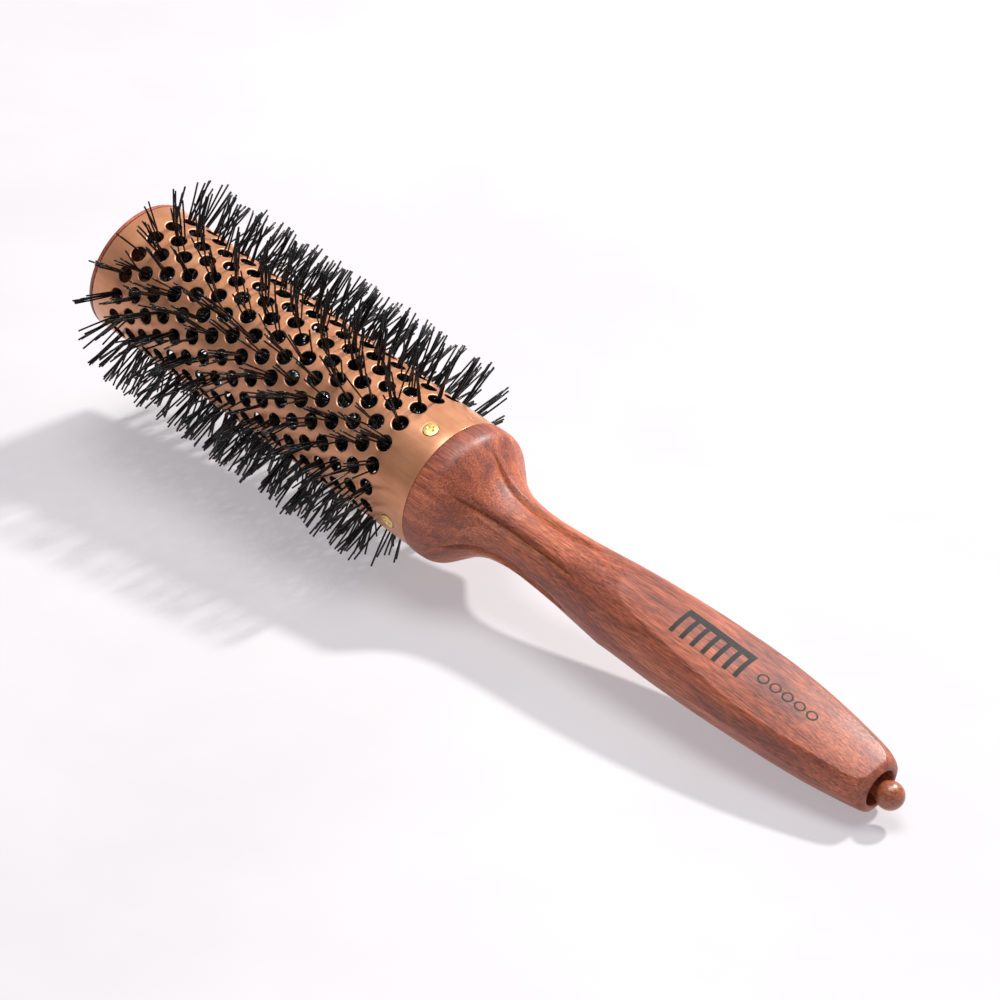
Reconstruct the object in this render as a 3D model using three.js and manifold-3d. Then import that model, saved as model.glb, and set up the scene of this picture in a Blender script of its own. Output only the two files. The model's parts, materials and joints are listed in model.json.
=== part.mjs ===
import * as THREE from 'three';
import { mergeVertices } from 'three/addons/utils/BufferGeometryUtils.js';
import Module from 'manifold-3d';

// Round barrel hair brush, in millimetres.
// It is designed along +X, from the cap end (X = 0) to the tail, with angles counted in degrees
// about +X from the first screw. At the end it is laid down the way it rests on a counter:
// on two bristle tips of the last row and on the tail of its handle.

// Barrel: a vented tube
const BARREL_R = 17.5;
const BARREL_BORE_R = 16.5;
const BARREL_START = 1.5;
const BARREL_END = 112.6;
const HOLE_ROWS = 18;
const HOLES_PER_ROW = 18;
const FIRST_ROW_X = 10;
const ROW_PITCH = 90 / 17;
const HOLE_R = 2.2;
const HOLE_SIDES = 6;
const ROW_STEP = 360 / HOLES_PER_ROW;

// Screws that hold the barrel on the handle
const SCREW_COUNT = 4;
const SCREW_X = 107.3;
const SCREW_SEAT_R = 2.25;
const SCREW_SEAT_SIDES = 8;
const SCREW_BAND = [104.2, 110.4];
const SCREW_HEAD_R = 1.8;
const SCREW_SHANK_R = 1.0;
const SCREW_TOP = 17.75;
const SCREW_POINT = 9.5;
const PILOT_R = 1.35;

// Bristle rows on the twisted wire core
const HUB_BORE_R = 2.6;
const HUB_R = 3.5;
const HUB_HALF_WIDTH = 0.6;
const BRISTLE_TIP_R = 27.8;
const BRISTLE_TIP_HALF = 0.4;
const BRISTLE_LEAN = 1.6;
const WIRE_R = 1.0;
const WIRE_HELIX_R = 1.2;
const WIRE_START = 4.0;
const WIRE_END = 107.0;
const WIRE_TURNS = 5;
const WIRE_STEPS = 60;
const WIRE_SIDES = 6;
const WIRE_SOCKET_R = 2.7;

// End cap
const CAP_RIM = 1.2;
const CAP_PLUG_END = 7.0;
const CAP_SOCKET_X = 3.5;

// Handle: turned profile from the barrel seam to the tail, [X, radius]
const PLUG_R = 16.1;
const PLUG_START = 103.2;
const PLUG_SOCKET_X = 108.0;
const SEAM_X = 112.9;
const HANDLE_SIDES = 42;
const HANDLE_PROFILE = [
  [112.9, 17.7], [114.5, 17.82], [116.5, 17.75], [117.6, 17.55], [118.7, 17.1], [120, 16.05],
  [121.5, 14.75], [123, 13.5], [124.5, 12.2], [126, 11.1], [128, 10.0], [130.5, 9.05],
  [133.5, 8.5], [137, 8.13], [141, 8.07], [147, 8.37], [153, 8.8], [160, 9.53], [167, 10.25],
  [174, 10.8], [182, 11.28], [191, 11.65], [203, 11.87], [211, 11.75], [218, 11.35],
  [224, 10.8], [230, 10.05], [236, 9.15], [240, 8.45], [242.5, 7.8], [244.2, 6.9],
  [245.1, 5.9], [245.3, 5.2],
];
const TAIL_X = 245.3;
const RECESS_R = 4.5;
const RECESS_FLOOR = 238.0;
const PICK_BORE_R = 2.4;
const PICK_BORE_END = 168.0;

// V-shaped flutes round the neck, [X, half width], and long crowned facets on the grip,
// [X, height of the crown]; both phases are in degrees from the first screw
const FLUTE_COUNT = 6;
const FLUTE_PHASE = 34.5;
const FLUTE_DEPTH_SHARE = 0.88;
const FLUTE_SHAPE = [
  [120.8, 0.06], [122.3, 0.5], [124, 0.85], [127, 1.15], [131, 1.38], [136, 1.52], [142, 1.58],
  [147, 1.52], [150.5, 1.38], [153.5, 1.1], [156, 0.68], [158, 0.06],
];
const FACET_COUNT = 3;
const FACET_PHASE = -3;
const FACET_CROWN_EASE = 1.6;
const FACET_CROWN_SLOPE = 0.347;
const FACET_HALF_SPAN = 12.6;
const FACET_LINE = [
  [164, 10.45], [170, 10.26], [175, 10.35], [180, 10.48], [185, 10.57], [190, 10.52],
  [200, 10.29], [210, 9.86], [220, 9.39], [230, 8.59], [240, 7.25], [247, 6.05],
];

// Pick: a ball knob with a tapered pin that lies in the handle's bore
const KNOB_X = 248.1;
const KNOB_R = 3.35;
const KNOB_NECK_R = 2.1;
const KNOB_NECK_START = 239.0;
const PIN_R = 1.1;
const PIN_TIP_R = 0.35;
const PIN_START = 170.0;
const PIN_END = 246.5;

// Lie of the brush: the direction of the first screw, counted from +Y towards +Z
const FIRST_SCREW_LIE = 110;

const COLOURS = {
  barrel: { color: 0xc98f6c, roughness: 0.38, metalness: 0.75 },
  wood: { color: 0x8e4f40, roughness: 0.45, metalness: 0.0 },
  knob: { color: 0xa85c3e, roughness: 0.35, metalness: 0.0 },
  brass: { color: 0xd0a94e, roughness: 0.3, metalness: 1.0 },
  steel: { color: 0xa4a7ab, roughness: 0.35, metalness: 1.0 },
  nylon: { color: 0x141416, roughness: 0.3, metalness: 0.0 },
};

const wasm = await Module();
wasm.setup();

// ---- shared helpers ----

function polar(x, radius, degrees) {
  const angle = THREE.MathUtils.degToRad(degrees);
  return new THREE.Vector3(x, radius * Math.cos(angle), radius * Math.sin(angle));
}

// A closed surface that is put together face by face from points that may repeat.
class Shell {
  constructor() {
    this.points = [];
    this.triangles = [];
    this.known = new Map();
  }

  point(vector) {
    const key = vector.toArray().map((value) => Math.round(value * 1e4)).join(',');
    if (!this.known.has(key)) {
      this.known.set(key, this.points.length);
      this.points.push(vector);
    }
    return this.known.get(key);
  }

  face(...corners) {
    const ids = corners.map((corner) => this.point(corner));
    for (let i = 2; i < ids.length; i += 1) {
      this.triangles.push([ids[0], ids[i - 1], ids[i]]);
    }
  }

  volume() {
    let total = 0;
    for (const [a, b, c] of this.triangles) {
      const [p, q, r] = [this.points[a], this.points[b], this.points[c]];
      total += p.dot(new THREE.Vector3().crossVectors(q, r)) / 6;
    }
    return total;
  }

  geometry() {
    const outward = this.volume() > 0;
    const index = this.triangles.flatMap(([a, b, c]) => (outward ? [a, b, c] : [a, c, b]));
    const geometry = new THREE.BufferGeometry();
    const values = this.points.flatMap((point) => point.toArray());
    geometry.setAttribute('position', new THREE.Float32BufferAttribute(values, 3));
    geometry.setIndex(index);
    return geometry;
  }
}

// A solid of revolution about X. The profile starts and ends on the axis, or closes on itself.
function turned(profile, sides) {
  const shell = new Shell();
  const step = 360 / sides;
  const open = profile[0][1] === 0 && profile[profile.length - 1][1] === 0;
  const last = open ? profile.length - 1 : profile.length;
  for (let i = 0; i < last; i += 1) {
    const [x0, r0] = profile[i];
    const [x1, r1] = profile[(i + 1) % profile.length];
    for (let k = 0; k < sides; k += 1) {
      const a = k * step;
      const b = ((k + 1) % sides) * step;
      if (r0 === 0) {
        shell.face(polar(x0, 0, 0), polar(x1, r1, b), polar(x1, r1, a));
      } else if (r1 === 0) {
        shell.face(polar(x0, r0, a), polar(x0, r0, b), polar(x1, 0, 0));
      } else {
        shell.face(polar(x0, r0, a), polar(x0, r0, b), polar(x1, r1, b), polar(x1, r1, a));
      }
    }
  }
  return shell.geometry();
}

// A body skinned over closed sections that all have the same number of corners.
function skinned(sections) {
  const shell = new Shell();
  const count = sections[0].length;
  for (let i = 1; i < sections.length; i += 1) {
    for (let k = 0; k < count; k += 1) {
      const next = (k + 1) % count;
      shell.face(sections[i - 1][k], sections[i - 1][next], sections[i][next], sections[i][k]);
    }
  }
  shell.face(...[...sections[0]].reverse());
  shell.face(...sections[sections.length - 1]);
  return shell.geometry();
}

function toSolid(geometry) {
  const plain = geometry.clone();
  plain.deleteAttribute('normal');
  plain.deleteAttribute('uv');
  const merged = mergeVertices(plain, 1e-4);
  return new wasm.Manifold(new wasm.Mesh({
    numProp: 3,
    vertProperties: new Float32Array(merged.attributes.position.array),
    triVerts: new Uint32Array(merged.index.array),
  }));
}

function toGeometry(solid) {
  const mesh = solid.getMesh();
  const geometry = new THREE.BufferGeometry();
  geometry.setAttribute('position', new THREE.Float32BufferAttribute(mesh.vertProperties, 3));
  geometry.setIndex(new THREE.Uint32BufferAttribute(mesh.triVerts, 1));
  return geometry;
}

function lookUp(line, x) {
  for (let i = 1; i < line.length; i += 1) {
    if (x <= line[i][0]) {
      const t = (x - line[i - 1][0]) / (line[i][0] - line[i - 1][0]);
      return THREE.MathUtils.lerp(line[i - 1][1], line[i][1], t);
    }
  }
  return line[line.length - 1][1];
}

const rowX = (row) => FIRST_ROW_X + row * ROW_PITCH;
const rowPhase = (row) => ((HOLE_ROWS - 1 - row) % 2 === 0 ? ROW_STEP / 2 : 0);

// ---- barrel ----

function barrelTube() {
  const shell = new Shell();
  const half = ROW_STEP / 2;
  const degreesPerMm = THREE.MathUtils.radToDeg(1 / BARREL_R);
  const wrap = (degrees) => ((degrees % 360) + 360) % 360;
  const outer = ([x, degrees]) => polar(x, BARREL_R, wrap(degrees));
  const inner = ([x, degrees]) => polar(x, BARREL_BORE_R, wrap(degrees));

  // One flat patch of the wall, given by its [X, degrees] corners in order round its edge.
  function patch(...corners) {
    let area = 0;
    corners.forEach(([x, degrees], i) => {
      const [nextX, nextDegrees] = corners[(i + 1) % corners.length];
      area += x * nextDegrees - nextX * degrees;
    });
    const ordered = area > 0 ? corners : [...corners].reverse();
    shell.face(...ordered.map(outer));
    shell.face(...[...ordered].reverse().map(inner));
  }

  function holeRim(x, degrees, radius, sides, turn) {
    const rim = [];
    for (let k = 0; k < sides; k += 1) {
      const angle = THREE.MathUtils.degToRad(turn + (k * 360) / sides);
      rim.push([x + radius * Math.cos(angle), degrees + radius * Math.sin(angle) * degreesPerMm]);
    }
    rim.forEach((corner, k) => {
      const next = rim[(k + 1) % sides];
      shell.face(outer(corner), outer(next), inner(next), inner(corner));
    });
    return rim;
  }

  for (let row = 0; row < HOLE_ROWS; row += 1) {
    for (let j = 0; j < HOLES_PER_ROW; j += 1) {
      const at = rowPhase(row) + j * ROW_STEP;
      const rim = holeRim(rowX(row), at, HOLE_R, HOLE_SIDES, 0);
      const above = rim.map(([x, degrees]) => [x, degrees + ROW_STEP]);
      patch(rim[1], rim[2], above[4], above[5]);
      if (row === 0) {
        patch([BARREL_START, at - half], [BARREL_START, at], rim[3]);
        patch([BARREL_START, at], [BARREL_START, at + half], rim[3]);
        patch(rim[4], rim[3], [BARREL_START, at - half]);
        patch(rim[3], rim[2], [BARREL_START, at + half]);
        patch(rim[2], above[4], [BARREL_START, at + half]);
      }
      if (row === HOLE_ROWS - 1) {
        patch([SCREW_BAND[0], at - half], [SCREW_BAND[0], at], rim[0]);
        patch([SCREW_BAND[0], at], [SCREW_BAND[0], at + half], rim[0]);
        patch(rim[5], rim[0], [SCREW_BAND[0], at - half]);
        patch(rim[0], rim[1], [SCREW_BAND[0], at + half]);
        patch(rim[1], above[5], [SCREW_BAND[0], at + half]);
      } else {
        const up = rim.map(([x, degrees]) => [x + ROW_PITCH, degrees + half]);
        const down = rim.map(([x, degrees]) => [x + ROW_PITCH, degrees - half]);
        patch(rim[0], up[4], up[3], rim[1]);
        patch(rim[0], rim[5], down[3], down[2]);
        patch(rim[0], up[4], down[2]);
        patch(rim[1], above[5], up[3]);
      }
    }
  }

  const [near, far] = SCREW_BAND;
  const quarter = 360 / SCREW_COUNT;
  for (let at = 0; at < 360; at += half) {
    const beside = at % quarter === 0 || at % quarter === quarter - half;
    if (!beside) {
      patch([near, at], [far, at], [far, at + half], [near, at + half]);
    }
    patch([far, at], [BARREL_END, at], [BARREL_END, at + half], [far, at + half]);
    const start = [[BARREL_START, at], [BARREL_START, at + half]];
    shell.face(outer(start[0]), outer(start[1]), inner(start[1]), inner(start[0]));
    const end = [[BARREL_END, at + half], [BARREL_END, at]];
    shell.face(outer(end[0]), outer(end[1]), inner(end[1]), inner(end[0]));
  }
  for (let i = 0; i < SCREW_COUNT; i += 1) {
    const at = i * quarter;
    const turn = 180 / SCREW_SEAT_SIDES;
    const rim = holeRim(SCREW_X, at, SCREW_SEAT_R, SCREW_SEAT_SIDES, turn);
    const corner = {
      farMid: [far, at],
      farUp: [far, at + half],
      nearUp: [near, at + half],
      nearMid: [near, at],
      nearDown: [near, at - half],
      farDown: [far, at - half],
    };
    patch(corner.farMid, corner.farUp, rim[0]);
    patch(corner.farUp, rim[1], rim[0]);
    patch(corner.farUp, corner.nearUp, rim[1]);
    patch(corner.nearUp, rim[2], rim[1]);
    patch(corner.nearUp, rim[3], rim[2]);
    patch(corner.nearUp, corner.nearMid, rim[3]);
    patch(corner.nearMid, rim[4], rim[3]);
    patch(corner.nearMid, corner.nearDown, rim[4]);
    patch(corner.nearDown, rim[5], rim[4]);
    patch(corner.nearDown, rim[6], rim[5]);
    patch(corner.nearDown, corner.farDown, rim[6]);
    patch(corner.farDown, rim[7], rim[6]);
    patch(corner.farDown, corner.farMid, rim[7]);
    patch(corner.farMid, rim[0], rim[7]);
  }
  return shell.geometry();
}

function endCap() {
  return turned([
    [0, 0], [0, 15.9], [0.12, 16.9], [0.5, 17.4], [0.8, BARREL_R], [CAP_RIM, BARREL_R],
    [CAP_RIM, PLUG_R], [CAP_PLUG_END, PLUG_R], [CAP_PLUG_END, WIRE_SOCKET_R],
    [CAP_SOCKET_X, WIRE_SOCKET_R], [CAP_SOCKET_X, 0],
  ], 36);
}

// ---- bristles on their wire core ----

// One strand of the twisted core, as a round wire on a helix.
function wireStrand(phase) {
  const pitch = (WIRE_END - WIRE_START) / WIRE_TURNS;
  const sections = [];
  for (let i = 0; i <= WIRE_STEPS; i += 1) {
    const t = i / WIRE_STEPS;
    const x = THREE.MathUtils.lerp(WIRE_START, WIRE_END, t);
    const degrees = phase + 360 * WIRE_TURNS * t;
    const centre = polar(x, WIRE_HELIX_R, degrees);
    const outward = polar(0, 1, degrees);
    const round = polar(0, 1, degrees + 90);
    const rise = (2 * Math.PI * WIRE_HELIX_R) / pitch;
    const along = new THREE.Vector3(1, 0, 0).addScaledVector(round, rise).normalize();
    const side = new THREE.Vector3().crossVectors(along, outward);
    const section = [];
    for (let k = 0; k < WIRE_SIDES; k += 1) {
      const angle = (2 * Math.PI * k) / WIRE_SIDES;
      section.push(centre.clone()
        .addScaledVector(outward, WIRE_R * Math.cos(angle))
        .addScaledVector(side, WIRE_R * Math.sin(angle)));
    }
    sections.push(section);
  }
  return skinned(sections);
}

// One row: a hub round the core with a tapered tuft to every hole of the barrel row.
function bristleRing(row) {
  const shell = new Shell();
  const x = rowX(row);
  const half = ROW_STEP / 2;
  const [front, back] = [x - HUB_HALF_WIDTH, x + HUB_HALF_WIDTH];
  for (let j = 0; j < HOLES_PER_ROW; j += 1) {
    const at = rowPhase(row) + j * ROW_STEP;
    const [low, high] = [at - half, at + half];
    const base = [
      polar(front, HUB_R, low), polar(back, HUB_R, low),
      polar(back, HUB_R, high), polar(front, HUB_R, high),
    ];
    const bore = [
      polar(front, HUB_BORE_R, low), polar(back, HUB_BORE_R, low),
      polar(back, HUB_BORE_R, high), polar(front, HUB_BORE_R, high),
    ];
    const side = j % 2 === 0 ? 1 : -1;
    const lean = row === HOLE_ROWS - 1 ? 0 : side * BRISTLE_LEAN;
    const centre = polar(x + lean, BRISTLE_TIP_R, at);
    const round = polar(0, BRISTLE_TIP_HALF, at + 90);
    const along = new THREE.Vector3(BRISTLE_TIP_HALF, 0, 0);
    const tip = [
      centre.clone().sub(along).sub(round), centre.clone().add(along).sub(round),
      centre.clone().add(along).add(round), centre.clone().sub(along).add(round),
    ];
    for (let k = 0; k < 4; k += 1) {
      const next = (k + 1) % 4;
      shell.face(base[k], base[next], tip[next], tip[k]);
    }
    shell.face(tip[0], tip[1], tip[2], tip[3]);
    shell.face(bore[3], bore[2], bore[1], bore[0]);
    shell.face(base[0], base[3], bore[3], bore[0]);
    shell.face(base[2], base[1], bore[1], bore[2]);
  }
  return shell.geometry();
}

// ---- screws ----

// Places a body that was made along +X so that it points away from the axis at a given angle.
function radially(geometry, x, degrees) {
  const out = polar(0, 1, degrees);
  const round = polar(0, 1, degrees + 90);
  const matrix = new THREE.Matrix4().makeBasis(out, round, new THREE.Vector3(1, 0, 0));
  matrix.setPosition(x, 0, 0);
  return geometry.clone().applyMatrix4(matrix);
}

function screw(degrees) {
  const body = turned([
    [SCREW_POINT, 0], [SCREW_POINT + 2, SCREW_SHANK_R], [16.3, SCREW_SHANK_R],
    [16.95, SCREW_HEAD_R], [17.45, SCREW_HEAD_R], [17.65, 1.4], [SCREW_TOP, 0.8], [SCREW_TOP, 0],
  ], 12);
  const slot = new THREE.BoxGeometry(0.8, 1.9, 0.45).translate(SCREW_TOP, 0, 0);
  const cross = slot.clone().rotateX(Math.PI / 2);
  const cut = toSolid(body).subtract(toSolid(slot)).subtract(toSolid(cross));
  return radially(toGeometry(cut), SCREW_X, degrees);
}

// ---- handle ----

// A slim leaf that follows the neck's profile; taking it away leaves one flute.
function fluteCutter(degrees) {
  const sections = FLUTE_SHAPE.map(([x, width]) => {
    const radius = lookUp(HANDLE_PROFILE, x);
    const slope = (lookUp(HANDLE_PROFILE, x + 0.5) - lookUp(HANDLE_PROFILE, x - 0.5));
    const normal = new THREE.Vector2(-slope, 1).normalize();
    const depth = FLUTE_DEPTH_SHARE * width;
    const outline = [
      [-1.6, 1.2], [-1, -0.1], [-0.12, -0.95], [0.12, -0.95], [1, -0.1], [1.6, 1.2],
    ];
    return outline.map(([across, up]) => {
      const lift = up * depth;
      const base = polar(x + normal.x * lift, radius + normal.y * lift, degrees);
      return base.addScaledVector(polar(0, 1, degrees + 90), across * width);
    });
  });
  return skinned(sections);
}

// What is taken off one side of the grip: everything outside a gently crowned facet.
function facetCutter(degrees) {
  const across = [];
  for (let s = -FACET_HALF_SPAN; s <= FACET_HALF_SPAN + 0.01; s += FACET_HALF_SPAN / 5) {
    across.push(s);
  }
  const out = polar(0, 1, degrees);
  const round = polar(0, 1, degrees + 90);
  const place = (x, height, s) => new THREE.Vector3(x, 0, 0)
    .addScaledVector(out, height)
    .addScaledVector(round, s);
  const sections = FACET_LINE.map(([x, height]) => {
    const crown = across.map((s) => {
      const drop = Math.hypot(FACET_CROWN_EASE, FACET_CROWN_SLOPE * s) - FACET_CROWN_EASE;
      return place(x, height - drop, s);
    });
    return [place(x, 16, -FACET_HALF_SPAN), ...crown, place(x, 16, FACET_HALF_SPAN)];
  });
  return skinned(sections);
}

function handle() {
  const turning = turned([
    [PLUG_SOCKET_X, 0], [PLUG_SOCKET_X, WIRE_SOCKET_R], [PLUG_START, WIRE_SOCKET_R],
    [PLUG_START, PLUG_R], [SEAM_X, PLUG_R], ...HANDLE_PROFILE, [TAIL_X, RECESS_R],
    [RECESS_FLOOR, RECESS_R], [RECESS_FLOOR, PICK_BORE_R], [PICK_BORE_END, PICK_BORE_R],
    [PICK_BORE_END - 1, 0],
  ], HANDLE_SIDES);
  let solid = toSolid(turning);
  for (let i = 0; i < FLUTE_COUNT; i += 1) {
    const degrees = FLUTE_PHASE + (i * 360) / FLUTE_COUNT;
    solid = solid.subtract(toSolid(fluteCutter(degrees)));
  }
  for (let i = 0; i < FACET_COUNT; i += 1) {
    solid = solid.subtract(toSolid(facetCutter(FACET_PHASE + (i * 360) / FACET_COUNT)));
  }
  const pilot = turned([[SCREW_POINT - 0.5, 0], [SCREW_POINT - 0.5, PILOT_R], [18, PILOT_R], [18, 0]], 8);
  for (let i = 0; i < SCREW_COUNT; i += 1) {
    const placed = radially(pilot, SCREW_X, (i * 360) / SCREW_COUNT);
    solid = solid.subtract(toSolid(placed));
  }
  return toGeometry(solid);
}

// ---- pick ----

function pickKnob() {
  const profile = [[KNOB_NECK_START, PIN_R + 0.3], [KNOB_NECK_START, KNOB_NECK_R]];
  const shoulder = Math.asin(KNOB_NECK_R / KNOB_R);
  const arcs = 7;
  for (let i = 0; i <= arcs; i += 1) {
    const angle = Math.PI - shoulder - ((Math.PI - shoulder) * i) / arcs;
    const radius = i === arcs ? 0 : KNOB_R * Math.sin(angle);
    profile.push([KNOB_X + KNOB_R * Math.cos(angle), radius]);
  }
  profile.unshift([PIN_END + 0.3, PIN_R + 0.3]);
  profile.unshift([PIN_END + 0.3, 0]);
  return turned(profile, 20);
}

function pickPin() {
  return turned([
    [PIN_START, 0], [PIN_START + 0.3, PIN_TIP_R], [PIN_START + 14, 0.75], [PIN_START + 40, PIN_R],
    [PIN_END, PIN_R], [PIN_END, 0],
  ], 10);
}

// ---- assembly ----

const group = new THREE.Group();

function add(name, geometry, finish) {
  const material = new THREE.MeshStandardMaterial(finish);
  const flat = geometry.clone();
  flat.computeVertexNormals();
  const mesh = new THREE.Mesh(flat, material);
  mesh.name = name;
  group.add(mesh);
}

add('end_cap', endCap(), COLOURS.wood);
add('barrel_tube', barrelTube(), COLOURS.barrel);
add('core_wire_a', wireStrand(0), COLOURS.steel);
add('core_wire_b', wireStrand(180), COLOURS.steel);
for (let row = 0; row < HOLE_ROWS; row += 1) {
  const number = String(row + 1).padStart(2, '0');
  add(`bristle_ring_${number}`, bristleRing(row), COLOURS.nylon);
}
for (let i = 0; i < SCREW_COUNT; i += 1) {
  add(`screw_${i + 1}`, screw((i * 360) / SCREW_COUNT), COLOURS.brass);
}
add('handle', handle(), COLOURS.wood);
add('pick_knob', pickKnob(), COLOURS.knob);
add('pick_pin', pickPin(), COLOURS.steel);

// Lays the brush down: the tail drops until the handle and the last bristle row touch the
// counter together, with the axis in the XZ plane.
const roll = new THREE.Matrix4().makeRotationX(THREE.MathUtils.degToRad(FIRST_SCREW_LIE));
const lowest = (name, matrix) => {
  const mesh = group.getObjectByName(name);
  const moved = mesh.geometry.clone().applyMatrix4(matrix);
  moved.computeBoundingBox();
  return moved.boundingBox.min.z;
};
const lie = (tilt) => new THREE.Matrix4().makeRotationY(tilt).multiply(roll);
let [flat, steep] = [0, 0.3];
for (let i = 0; i < 50; i += 1) {
  const tilt = (flat + steep) / 2;
  if (lowest('handle', lie(tilt)) > lowest('bristle_ring_18', lie(tilt))) {
    flat = tilt;
  } else {
    steep = tilt;
  }
}
group.children.forEach((mesh) => mesh.geometry.applyMatrix4(lie(flat)));
const box = new THREE.Box3().setFromObject(group);
const centre = box.getCenter(new THREE.Vector3());
group.children.forEach((mesh) => mesh.geometry.translate(-centre.x, -centre.y, -box.min.z));

export default group;
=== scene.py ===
import json
import math
import random

import bmesh
import bpy
import numpy as np
from mathutils import Matrix, Vector


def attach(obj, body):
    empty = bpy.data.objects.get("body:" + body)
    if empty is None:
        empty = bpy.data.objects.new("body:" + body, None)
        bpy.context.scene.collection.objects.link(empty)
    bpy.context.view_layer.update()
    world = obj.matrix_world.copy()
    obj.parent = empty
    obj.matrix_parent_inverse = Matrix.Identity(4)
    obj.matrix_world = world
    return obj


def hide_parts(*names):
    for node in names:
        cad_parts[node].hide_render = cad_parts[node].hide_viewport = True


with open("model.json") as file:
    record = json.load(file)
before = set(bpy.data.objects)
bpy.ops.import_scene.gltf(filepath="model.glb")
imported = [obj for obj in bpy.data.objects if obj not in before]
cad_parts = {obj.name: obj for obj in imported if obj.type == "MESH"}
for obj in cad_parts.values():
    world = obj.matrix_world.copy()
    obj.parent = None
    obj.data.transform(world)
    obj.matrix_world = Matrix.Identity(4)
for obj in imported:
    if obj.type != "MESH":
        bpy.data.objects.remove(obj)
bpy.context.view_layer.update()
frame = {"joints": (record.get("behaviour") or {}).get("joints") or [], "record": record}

# Round barrel brush. The looks are built in the brush's own space, in millimetres: X runs along
# the axis from the cap end (0) to the tail, and angles are counted about X from the first screw.
# LIE puts that space into the row frame, where the brush lies on bristle tips and tail.

MM = 0.001
FIRST_SCREW_LIE = math.radians(110)

# ---------------------------------------------------------------- the brush's own space
MOUNT = frame["record"]["mounts"][0]
TAILWARD = Vector(frame["joints"][0]["axis"]).normalized()
CAP_CENTRE = Vector(MOUNT["pos_m"])
ACROSS = Vector((0, 1, 0))
UPWARD = TAILWARD.cross(ACROSS).normalized()
SCREW_DIR = ACROSS * math.cos(FIRST_SCREW_LIE) + UPWARD * math.sin(FIRST_SCREW_LIE)
THIRD_DIR = TAILWARD.cross(SCREW_DIR)


def lie_matrix():
    """From the brush's own space, in metres, to the row frame."""
    turn = Matrix((TAILWARD, SCREW_DIR, THIRD_DIR)).transposed().to_4x4()
    return Matrix.Translation(CAP_CENTRE) @ turn


LIE = lie_matrix()

# ---------------------------------------------------------------- sizes in millimetres
BARREL_R = 17.5
BARREL_BORE_R = 16.5
BARREL_START = 1.5
BARREL_END = 112.6
FIRST_BAND_END = 5.6
HOLE_ROWS = 18
HOLES_PER_ROW = 18
FIRST_ROW_X = 10.0
ROW_PITCH = 90.0 / 17
ROW_STEP = 360.0 / HOLES_PER_ROW
HOLE_R = 2.1
HOLE_LIP = 0.26
ARC_MM = math.radians(1) * BARREL_R
CELL_APOTHEM = ROW_STEP * ARC_MM / 2

SCREWS = 4
SCREW_STEP = 360 // SCREWS
SCREW_X = 107.3
SCREW_BAND = (104.2, 110.4)
SCREW_SEAT_R = 2.0
SCREW_SEAT_LIP = 0.1
SCREW_HEAD_R = 1.82
SCREW_CROWN = 17.74
SCREW_DOME = 0.16
SCREW_SHANK_R = 1.0
CROSS_HALF_WIDTH = 0.3
CROSS_HALF_LENGTH = 1.08
CROSS_DEPTH = 0.30

FILAMENT_R = 0.235
FILAMENT_SIDES = 6
TIP_R = 27.8
ROOT_R = 2.35
MOUTH_R = 17.4
TUFT_SIZES = (1, 2, 3, 4, 5, 6, 7)
TUFT_ODDS = (3, 7, 14, 22, 24, 18, 12)
STRAY_SHARE = 0.34
STRAY_REACH = 1.55
BUNCH_REACH = 0.95
BUNCH_SPREAD = 0.42
BUNCH_LEAN = (0.085, 0.07)
MOUTH_REACH = 1.6
FLOOR_GAP = 0.05

WIRE_R = 1.0
WIRE_OFFSET = 1.2
WIRE_START = 4.0
WIRE_END = 107.0
WIRE_TURNS = 5

KNOB_X = 248.1
KNOB_R = 3.35
KNOB_NECK_R = 2.1
PIN_R = 1.1

# x and radius of the turned body, from its seam with the barrel to the tail
HANDLE_PROFILE = [
    (112.9, 17.66), (114.5, 17.82), (116.5, 17.77), (117.6, 17.6), (118.7, 17.13), (120, 16.08),
    (121.5, 14.77), (123, 13.5), (124.5, 12.2), (126, 11.1), (128, 10.0), (130.5, 9.05),
    (133.5, 8.5), (137, 8.13), (141, 8.07), (147, 8.37), (153, 8.8), (160, 9.53), (167, 10.25),
    (174, 10.8), (182, 11.28), (191, 11.65), (203, 11.87), (211, 11.75), (218, 11.35),
    (224, 10.8), (230, 10.05), (236, 9.15), (240, 8.45), (242.5, 7.8), (244.2, 6.9),
]
FLUTES = 6
FLUTE_PHASE = 34.5
# x and half width of each leaf-shaped flute
FLUTE_SHAPE = [
    (120.8, 0.0), (122.3, 0.5), (124, 0.85), (127, 1.15), (131, 1.38), (136, 1.52), (142, 1.58),
    (147, 1.52), (150.5, 1.38), (153.5, 1.1), (156, 0.68), (158, 0.0),
]
FLUTE_DEPTH_SHARE = 0.88
FACETS = 3
FACETS_START = 163
FACET_PHASE = -3
FACET_REACH = math.radians(62)
FACET_EDGE = 0.03
FACET_CROWN_EASE = 1.6
FACET_CROWN_SLOPE = 0.347
# x and distance of each facet's middle from the axis
FACET_LINE = [
    (164, 10.45), (170, 10.26), (175, 10.35), (180, 10.48), (185, 10.57), (190, 10.52),
    (200, 10.29), (210, 9.86), (220, 9.39), (230, 8.59), (240, 7.25), (247, 6.05),
]

PLUG_R = 16.1
PLUG_START = 103.2
WIRE_HOLE_R = 2.7
WIRE_HOLE_END = 108.0
TAIL_X = 245.3
RECESS_R = 4.5
RECESS_FLOOR = 238.0
PIN_BORE_R = 2.4
PIN_BORE_END = 168.0

MARK_ARC_R = 11.0
COMB = {"start": 185.6, "length": 20.5, "pitch": 3.2, "spine": 3.1, "teeth": -0.9}
RINGS = {"start": 209.2, "pitch": 3.6, "count": 5, "radius": 1.25, "stroke": 0.46}

rng = random.Random(384)


# ---------------------------------------------------------------- mesh helpers
def polar(x, radius, degrees):
    angle = math.radians(degrees)
    return (x, radius * math.cos(angle), radius * math.sin(angle))


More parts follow.
